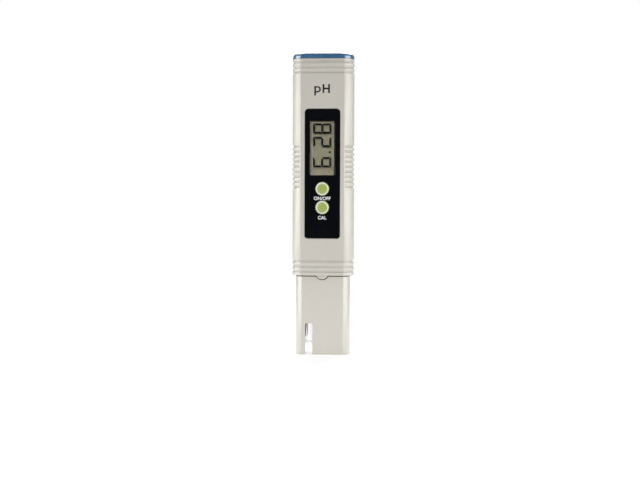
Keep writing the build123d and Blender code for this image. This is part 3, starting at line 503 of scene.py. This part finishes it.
def dress_nodes():
    """Gives each CAD node the finish of its slot. Each key has a material of its own, centred on it."""
    made = {}
    for part in frame["record"]["subparts"]:
        node, slot = part["node"], part["material_slot"]
        if slot == "key_silicone":
            low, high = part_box(node)
            material = key_silicone((low.z + high.z) / 2)
        else:
            if slot not in made:
                made[slot] = FINISHES[slot]()
            material = made[slot]
        frame["nodes"][node].data.materials.clear()
        frame["nodes"][node].data.materials.append(material)


SOFT_EDGES = {  # bevel widths in mm
    "front_shell": 0.1, "rear_shell": 0.1, "probe_housing": 0.12, "battery_cap": 0.12, "battery_tray": 0.12,
    "face_panel": 0.08,
}
WELD_DISTANCE = 1e-6
SHARP_ANGLE = math.radians(22)


def soften_edges():
    """Rounds the sharp edges of the moulded parts a little, as a mould does."""
    for node, width in SOFT_EDGES.items():
        piece = frame["nodes"][node]
        weld = piece.modifiers.new("weld", "WELD")
        weld.merge_threshold = WELD_DISTANCE
        bevel = piece.modifiers.new("soft_edges", "BEVEL")
        bevel.width = width * MM
        bevel.segments = 3
        bevel.limit_method = "ANGLE"
        bevel.angle_limit = SHARP_ANGLE
        bevel.use_clamp_overlap = True
        bevel.harden_normals = True


# ---- Pieces that only Blender makes -------------------------------------------------------------


def piece_from(name, points, faces, material, body):
    """A mesh piece, in the frame of the CAD model, that rides on a body."""
    mesh = bpy.data.meshes.new(name)
    mesh.from_pydata([tuple(point) for point in points], [], faces)
    mesh.validate()
    mesh.update()
    mesh.materials.append(material)
    piece = bpy.data.objects.new(name, mesh)
    scene.collection.objects.link(piece)
    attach(piece, body)
    return piece


def prisms(outlines, place, depth):
    """Points and faces of flat plates, one for each outline. place turns (u, v, w) into a point, and
    the plates stand from w = 0 to depth."""
    points, faces = [], []
    for outline in outlines:
        start, count = len(points), len(outline)
        points += [place(u, v, 0.0) for u, v in outline]
        points += [place(u, v, depth) for u, v in outline]
        faces.append([start + i for i in reversed(range(count))])
        faces.append([start + count + i for i in range(count)])
        for i in range(count):
            j = (i + 1) % count
            faces.append([start + i, start + j, start + count + j, start + count + i])
    return points, faces


DIGIT_WIDTH, DIGIT_HEIGHT, STROKE, SEGMENT_GAP = 5.3 * MM, 9.3 * MM, 1.0 * MM, 0.12 * MM
READING_X, READING_RISE, READING_THICK = -0.25 * MM, 1.15 * MM, 0.03 * MM
LIT = {"6": "acdefg", "2": "abdeg", "8": "abcdefg"}
DIGIT_PLACES = (("6", -8.4 * MM), ("2", 1.9 * MM), ("8", 8.8 * MM))
POINT_PLACE, POINT_RADIUS, POINT_STEPS = (-3.3 * MM, -3.88 * MM), 0.56 * MM, 20


def segment_outlines(lit):
    """Outlines of a digit's lit segments about its own centre: u to its right, v up it."""
    right, top, half, gap = DIGIT_WIDTH / 2, DIGIT_HEIGHT / 2, STROKE / 2, SEGMENT_GAP
    bar = [(-right + gap, top), (right - gap, top), (right - STROKE - gap, top - STROKE),
           (-right + STROKE + gap, top - STROKE)]
    post = [(right, top - gap), (right, half * 0.2 + gap), (right - half, gap * 0.6),
            (right - STROKE, half + gap), (right - STROKE, top - STROKE - gap)]
    middle = [(-right + half + gap, 0), (-right + STROKE + gap, half), (right - STROKE - gap, half),
              (right - half - gap, 0), (right - STROKE - gap, -half), (-right + STROKE + gap, -half)]
    outlines = {
        "a": bar,
        "b": post,
        "c": [(u, -v) for u, v in post],
        "d": [(u, -v) for u, v in bar],
        "e": [(-u, -v) for u, v in post],
        "f": [(-u, v) for u, v in post],
        "g": middle,
    }
    return [outlines[name] for name in lit]


def anticlockwise(outline):
    """The outline with its points in anticlockwise order."""
    area = sum(a[0] * b[1] - b[0] * a[1] for a, b in zip(outline, outline[1:] + outline[:1]))
    return outline if area > 0 else outline[::-1]


def display_reading():
    """The reading 6.28, turned to read up the pen, in the middle of the display's polarising film."""
    low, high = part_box("display_window")
    film_low, film_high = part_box("lcd_polarizer")
    y = (film_low.y + film_high.y) / 2
    centre_z = (low.z + high.z) / 2 + READING_RISE
    outlines = []
    for digit, along in DIGIT_PLACES:
        for outline in segment_outlines(LIT[digit]):
            outlines.append(anticlockwise([(u + along, v) for u, v in outline]))
    outlines.append([
        (POINT_PLACE[0] + POINT_RADIUS * math.cos(turn), POINT_PLACE[1] + POINT_RADIUS * math.sin(turn))
        for turn in [math.tau * i / POINT_STEPS for i in range(POINT_STEPS)]
    ])
    points, faces = prisms(outlines, lambda u, v, w: (READING_X - v, y - w, centre_z + u), READING_THICK)
    return piece_from("display_reading", points, faces, lcd_ink(), "housing")


def legend(name, words, centre, size, face_y, ink, weight):
    """Lettering printed on a face that looks to the front. centre and size are its middle (x, z) and its
    width and height, in mm, and weight thickens the strokes."""
    text = bpy.data.curves.new(name, "FONT")
    text.body = words
    text.offset = weight
    text.resolution_u = 8
    holder = bpy.data.objects.new(name + "_text", text)
    scene.collection.objects.link(holder)
    bpy.context.view_layer.update()
    mesh = bpy.data.meshes.new_from_object(holder.evaluated_get(bpy.context.evaluated_depsgraph_get()))
    bpy.data.objects.remove(holder)
    xs = [vertex.co.x for vertex in mesh.vertices]
    ys = [vertex.co.y for vertex in mesh.vertices]
    for vertex in mesh.vertices:
        across = (vertex.co.x - min(xs)) / (max(xs) - min(xs)) - 0.5
        up = (vertex.co.y - min(ys)) / (max(ys) - min(ys)) - 0.5
        vertex.co.x = (centre[0] + across * size[0]) * MM
        vertex.co.y = face_y
        vertex.co.z = (centre[1] + up * size[1]) * MM
    mesh.materials.clear()
    mesh.materials.append(ink)
    mesh.name = name
    piece = bpy.data.objects.new(name, mesh)
    scene.collection.objects.link(piece)
    film = piece.modifiers.new("film", "SOLIDIFY")
    film.thickness = INK_THICK
    film.offset = 0
    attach(piece, "housing")
    return piece


def legends():
    """The scale's name on the case, and what each key does under it on the panel."""
    white = print_ink("white_ink", (0.86, 0.87, 0.87))
    black = print_ink("black_ink", (0.004, 0.0035, 0.003))
    panel_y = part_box("face_panel")[0].y - 0.4 * INK_THICK
    case_y = -CASE_HALF_DEPTH - 0.4 * INK_THICK
    legend("legend_p", "p", (-2.53, 134.9), (3.45, 4.7), case_y, black, 0.014)
    legend("legend_h", "H", (1.88, 136.03), (3.75, 4.45), case_y, black, 0.025)
    legend("legend_power", "ON/OFF", (0, 80.2), (8.6, 1.8), panel_y, white, 0.028)
    legend("legend_cal", "CAL", (0, 70.4), (4.4, 1.85), panel_y, white, 0.028)


MASK_LEFT, MASK_RIGHT, MASK_END = -6.5 * MM, 5.75 * MM, 0.3 * MM
FILM_GAP = 0.02 * MM


def display_mask():
    """Black frame printed round the display's viewing area, behind the window."""
    film_low, film_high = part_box("lcd_polarizer")
    window_low, window_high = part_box("display_window")
    front_y, back_y = window_high.y + FILM_GAP, film_low.y - FILM_GAP
    centre_z = (window_low.z + window_high.z) / 2
    half_x, half_z = (film_high.x - film_low.x) / 2, (film_high.z - film_low.z) / 2
    left, right, open_z = MASK_LEFT, MASK_RIGHT, (window_high.z - window_low.z) / 2 - MASK_END
    outer = [(-half_x, -half_z), (half_x, -half_z), (half_x, half_z), (-half_x, half_z)]
    inner = [(left, -open_z), (right, -open_z), (right, open_z), (left, open_z)]
    points = [(u, y, centre_z + v) for y in (front_y, back_y) for u, v in outer + inner]
    faces = []
    for i in range(4):
        j = (i + 1) % 4
        faces += [[i, j, 4 + j, 4 + i], [8 + i, 12 + i, 12 + j, 8 + j]]
        faces += [[i, 8 + i, 8 + j, j], [4 + i, 4 + j, 12 + j, 12 + i]]
    ink = print_ink("mask_ink", (0.006, 0.006, 0.007))
    return piece_from("display_mask", points, faces, ink, "housing")


MARK_REACH, MARK_HALF_STROKE = 1.6 * MM, 0.2 * MM


def cell_marks():
    """The plus sign on each button cell's positive face. The cells lie opposite ways round."""
    ink = print_ink("etched_mark", (0.16, 0.16, 0.16))
    long, short = MARK_REACH, MARK_HALF_STROKE
    bars = [
        [(-long, -short), (long, -short), (long, short), (-long, short)],
        [(-short, short), (short, short), (short, long), (-short, long)],
        [(-short, -long), (short, -long), (short, -short), (-short, -short)],
    ]
    for side, facing in (("left", 1), ("right", -1)):
        low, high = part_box("button_cell_" + side)
        centre = (low + high) / 2
        face_y = high.y if facing > 0 else low.y
        points, faces = prisms(
            bars, lambda u, v, w: (centre.x - facing * u, face_y + facing * w, centre.z + v), INK_THICK
        )
        piece_from("cell_mark_" + side, points, faces, ink, "battery_drawer")


def section_points(half_width, half_depth, steps=20):
    """Points round the pen's section: a flat front and back between two round flanks."""
    radius = half_width - FLANK_CENTRE
    lean = math.asin(half_depth / radius) if half_depth < radius else math.pi / 2
    points = []
    for side, start in ((1, -lean), (-1, math.pi - lean)):
        for i in range(steps + 1):
            turn = start + 2 * lean * i / steps
            points.append((side * FLANK_CENTRE + radius * math.cos(turn), radius * math.sin(turn)))
    return points


SHADE_STRIP_SHY, SHADE_STRIP_DEPTH = 0.04 * MM, 0.55 * MM  # behind the housing's face, to the ring's inside
SHADE_STRIP_GAP, SHADE_STRIP_SLACK = 0.02 * MM, 0.06 * MM
ARC_SLACK, ARC_THICK, ARC_STEPS, ARC_OVERRUN = 0.03 * MM, 0.5 * MM, 28, 0.04


def collar_shade_strip():
    """Dark rubber strip that fills the open joint under the collar and round its tab; its darkness is painted
    shade for the shadow in that joint.
    """
    housing_low, housing_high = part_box("probe_housing")
    outer = section_points(housing_high.x - SHADE_STRIP_SHY, housing_high.y - SHADE_STRIP_SHY)
    inner = section_points(housing_high.x - SHADE_STRIP_DEPTH, housing_high.y - SHADE_STRIP_DEPTH)
    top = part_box("rear_shell")[0].z - SHADE_STRIP_GAP
    bottom = top - JOINT_WIDTH + SHADE_STRIP_SLACK
    count = len(outer)
    points = [(x, y, z) for z in (bottom, top) for ring in (outer, inner) for x, y in ring]
    faces = []
    for i in range(count):
        j = (i + 1) % count
        out_low, in_low, out_top, in_top = 0, count, 2 * count, 3 * count
        faces.append([out_low + i, out_low + j, out_top + j, out_top + i])
        faces.append([in_low + i, in_top + i, in_top + j, in_low + j])
        faces.append([out_low + i, in_low + i, in_low + j, out_low + j])
        faces.append([out_top + i, out_top + j, in_top + j, in_top + i])
    # Dark rubber colour: painted shade in the joint.
    rubber = elastic("shade_strip_rubber", (0.045, 0.04, 0.034), 0.6).material
    piece_from("collar_shade_strip", points, faces, rubber, "housing")
    # The arc round the tab, in its own groove, also painted shade.
    radius = (TAB_HALF_WIDTH**2 + TAB_DROP**2) / (2 * TAB_DROP)
    centre_z = top + SHADE_STRIP_GAP - TAB_DROP + radius
    reach = math.asin(TAB_HALF_WIDTH / radius) + ARC_OVERRUN
    inside, outside = radius + ARC_SLACK, radius + TAB_JOINT_WIDTH - ARC_SLACK
    outlines = []
    for i in range(ARC_STEPS):
        a, b = (reach * (2 * k / ARC_STEPS - 1) for k in (i, i + 1))
        outlines.append([
            (inside * math.sin(a), -inside * math.cos(a)), (outside * math.sin(a), -outside * math.cos(a)),
            (outside * math.sin(b), -outside * math.cos(b)), (inside * math.sin(b), -inside * math.cos(b)),
        ])
    back_y = housing_low.y + SHADE_STRIP_DEPTH
    points, faces = prisms(outlines, lambda u, v, w: (u, back_y - w, min(centre_z + v, bottom)), ARC_THICK)
    piece_from("tab_shade_strip", points, faces, rubber, "housing")


def lathe(name, profile, centre, material, body, steps=48):
    """A piece turned about an upright axis from (radius, z) points; a radius of 0 closes it."""
    points, rows = [], []
    for radius, z in profile:
        if radius == 0:
            rows.append([len(points)] * steps)
            points.append((centre[0], centre[1], z))
        else:
            rows.append(list(range(len(points), len(points) + steps)))
            points += [
                (centre[0] + radius * math.cos(math.tau * i / steps),
                 centre[1] + radius * math.sin(math.tau * i / steps), z)
                for i in range(steps)
            ]
    faces = []
    for lower, upper in zip(rows, rows[1:]):
        for i in range(steps):
            j = (i + 1) % steps
            corners = [lower[i], lower[j], upper[j], upper[i]]
            faces.append([c for k, c in enumerate(corners) if c not in corners[:k]])
    piece = piece_from(name, points, faces, material, body)
    for face in piece.data.polygons:
        face.use_smooth = True
    return piece


BULB_WALL, TUBE_FILL_RADIUS, FILL_LEVEL, BULB_STEPS = 0.33 * MM, 1.87 * MM, 22 * MM, 24


def bulb_fill():
    """The solution inside the glass bulb, up to a level in the tube."""
    low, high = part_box("glass_electrode")
    centre = ((low.x + high.x) / 2, 0.0)
    bulb = (high.x - low.x) / 2
    inner = bulb - BULB_WALL
    bulb_z = low.z + bulb
    neck = math.asin(TUBE_FILL_RADIUS / inner)
    profile = [(0, bulb_z - inner)]
    profile += [
        (inner * math.sin(turn), bulb_z - inner * math.cos(turn))
        for turn in [(math.pi - neck) * i / BULB_STEPS for i in range(1, BULB_STEPS + 1)]
    ]
    profile += [(TUBE_FILL_RADIUS, bulb_z + FILL_LEVEL), (0, bulb_z + FILL_LEVEL)]
    return lathe("electrode_fill", profile, centre, electrode_fill(), "housing")


# ---- Stage, light and camera --------------------------------------------------------------------


FLOOR_HALF, FLOOR_FADE_START, FLOOR_FADE_END = 1.2, 0.1, 0.55
LAMP_AIM = Vector((0, 0, 0.08))


def floor():
    """A pale floor that fades out into the white surroundings, so that it has no horizon."""
    mesh = bpy.data.meshes.new("floor")
    half = FLOOR_HALF
    corners = [(-half, -half, 0), (half, -half, 0), (half, half, 0), (-half, half, 0)]
    mesh.from_pydata(corners, [], [(0, 1, 2, 3)])
    finish = Finish("floor_paper")
    fibre = finish.noise(2.5, 5, 0.6)
    finish.set(
        Base_Color=finish.blend(fibre, (0.6, 0.6, 0.6), (0.62, 0.62, 0.62)),
        Roughness=0.8,
        Specular_IOR_Level=0.1,
    )
    finish.bump((fibre, 0.02))
    reach = finish.node("ShaderNodeVectorMath", operation="LENGTH")
    finish.link(finish.place, reach.inputs[0])
    gone = finish.node("ShaderNodeBsdfTransparent")
    finish.set(Emission_Color=(1, 1, 1, 1), Emission_Strength=0.45)
    mixer = finish.node("ShaderNodeMixShader")
    finish.link(finish.span(reach.outputs["Value"], 0, 1, FLOOR_FADE_START, FLOOR_FADE_END), mixer.inputs[0])
    finish.link(finish.shader.outputs[0], mixer.inputs[1])
    finish.link(gone.outputs[0], mixer.inputs[2])
    finish.link(mixer.outputs[0], finish.output.inputs["Surface"])
    mesh.materials.append(finish.material)
    plane = bpy.data.objects.new("floor", mesh)
    scene.collection.objects.link(plane)


def softbox(name, turn, rise, reach, size, power, lights=True, glints=True):
    """A rectangular lamp that looks at the pen, from an angle round it and an angle above its middle. It
    lights what it falls on, shows as glints in what is glossy, or both."""
    lamp = bpy.data.lights.new(name, "AREA")
    lamp.shape = "RECTANGLE"
    lamp.size, lamp.size_y = size
    lamp.energy = power
    holder = bpy.data.objects.new(name, lamp)
    scene.collection.objects.link(holder)
    turn, rise = math.radians(turn), math.radians(rise)
    away = Vector((math.sin(turn) * math.cos(rise), -math.cos(turn) * math.cos(rise), math.sin(rise)))
    holder.location = LAMP_AIM + reach * away
    holder.rotation_mode = "QUATERNION"
    holder.rotation_quaternion = (-away).to_track_quat("-Z", "Y")
    holder.visible_diffuse = lights
    holder.visible_glossy = glints


def studio():
    """White surroundings for the eye. What lights the pen is dimmer, weaker behind it, and dark in a
    patch behind the camera, so that the glossy panel stays black."""
    softbox("side_lamp_left", -80, 8, 0.95, (0.8, 0.7), 5.6)
    softbox("side_lamp_right", 80, 8, 0.95, (0.8, 0.7), 5.8)
    softbox("strip_left", -80, 4, 0.95, (0.72, 0.9), 6, lights=False)
    softbox("strip_right", 70, 4, 0.95, (0.72, 0.9), 5.6, lights=False)
    softbox("key_lamp", -6, 11, 1.0, (0.3, 0.12), 2.4, glints=False)
    softbox("top_lamp", 0, 88, 1.1, (0.9, 0.9), 6, glints=False)
    softbox("back_lamp", 180, 42, 1.0, (0.6, 0.5), 5)
    world = bpy.data.worlds.new("studio")
    world.use_nodes = True
    tree = world.node_tree
    seen = tree.nodes["Background"]
    seen.inputs["Color"].default_value = (1, 1, 1, 1)
    way = tree.nodes.new("ShaderNodeTexCoord")
    ahead = tree.nodes.new("ShaderNodeVectorMath")
    ahead.operation = "DOT_PRODUCT"
    ahead.inputs[1].default_value = (0.08, -0.99, -0.06)
    tree.links.new(way.outputs["Generated"], ahead.inputs[0])
    glow = tree.nodes.new("ShaderNodeValToRGB")
    ramp = glow.color_ramp
    ramp.elements[0].position, ramp.elements[0].color = 0.3, (0.18, 0.18, 0.18, 1)
    ramp.elements[1].position, ramp.elements[1].color = 0.85, (0.1, 0.1, 0.1, 1)
    dark = ramp.elements.new(0.955)
    dark.color = (0.02, 0.02, 0.02, 1)
    spread = tree.nodes.new("ShaderNodeMapRange")
    spread.inputs["From Min"].default_value = -1
    tree.links.new(ahead.outputs["Value"], spread.inputs["Value"])
    tree.links.new(spread.outputs["Result"], glow.inputs["Fac"])
    fill = tree.nodes.new("ShaderNodeBackground")
    tree.links.new(glow.outputs["Color"], fill.inputs["Color"])
    # Seen straight or through clear parts it is white; whatever it lights sees it dimmer
    path = tree.nodes.new("ShaderNodeLightPath")
    bounced = tree.nodes.new("ShaderNodeMath")
    bounced.operation = "ADD"
    tree.links.new(path.outputs["Diffuse Depth"], bounced.inputs[0])
    tree.links.new(path.outputs["Glossy Depth"], bounced.inputs[1])
    straight = tree.nodes.new("ShaderNodeMath")
    straight.operation = "LESS_THAN"
    straight.inputs[1].default_value = 0.5
    tree.links.new(bounced.outputs[0], straight.inputs[0])
    mixer = tree.nodes.new("ShaderNodeMixShader")
    tree.links.new(straight.outputs[0], mixer.inputs[0])
    tree.links.new(fill.outputs[0], mixer.inputs[1])
    tree.links.new(seen.outputs[0], mixer.inputs[2])
    tree.links.new(mixer.outputs[0], tree.nodes["World Output"].inputs["Surface"])
    scene.world = world


CAMERA_REACH = 0.6355
CAMERA_TURN, CAMERA_TILT, CAMERA_ROLL = math.radians(4.4), math.radians(2.2), math.radians(0.2)
CAMERA_LENS, SENSOR_WIDTH = 69.2, 36.0  # mm
AIM = Vector((-1.61, 0, 58.68)) * MM


def camera():
    """The main camera, a little to the right of the display and above it, rolled to the pen's slight lean."""
    lens = bpy.data.cameras.new("camera")
    lens.sensor_width = SENSOR_WIDTH
    lens.lens = CAMERA_LENS
    lens.clip_start, lens.clip_end = 0.01, 20
    eye = bpy.data.objects.new("camera", lens)
    scene.collection.objects.link(eye)
    away = Vector((math.sin(CAMERA_TURN), -math.cos(CAMERA_TURN), math.tan(CAMERA_TILT)))
    eye.location = AIM + CAMERA_REACH * away
    eye.rotation_mode = "QUATERNION"
    eye.rotation_quaternion = (-away).to_track_quat("-Z", "Y") @ Quaternion((0, 0, 1), CAMERA_ROLL)
    scene.camera = eye


dress_nodes()
soften_edges()
display_reading()
display_mask()
legends()
cell_marks()
# Dark strip under the collar and round its tab: painted shade.
collar_shade_strip()
bulb_fill()
floor()
studio()
camera()
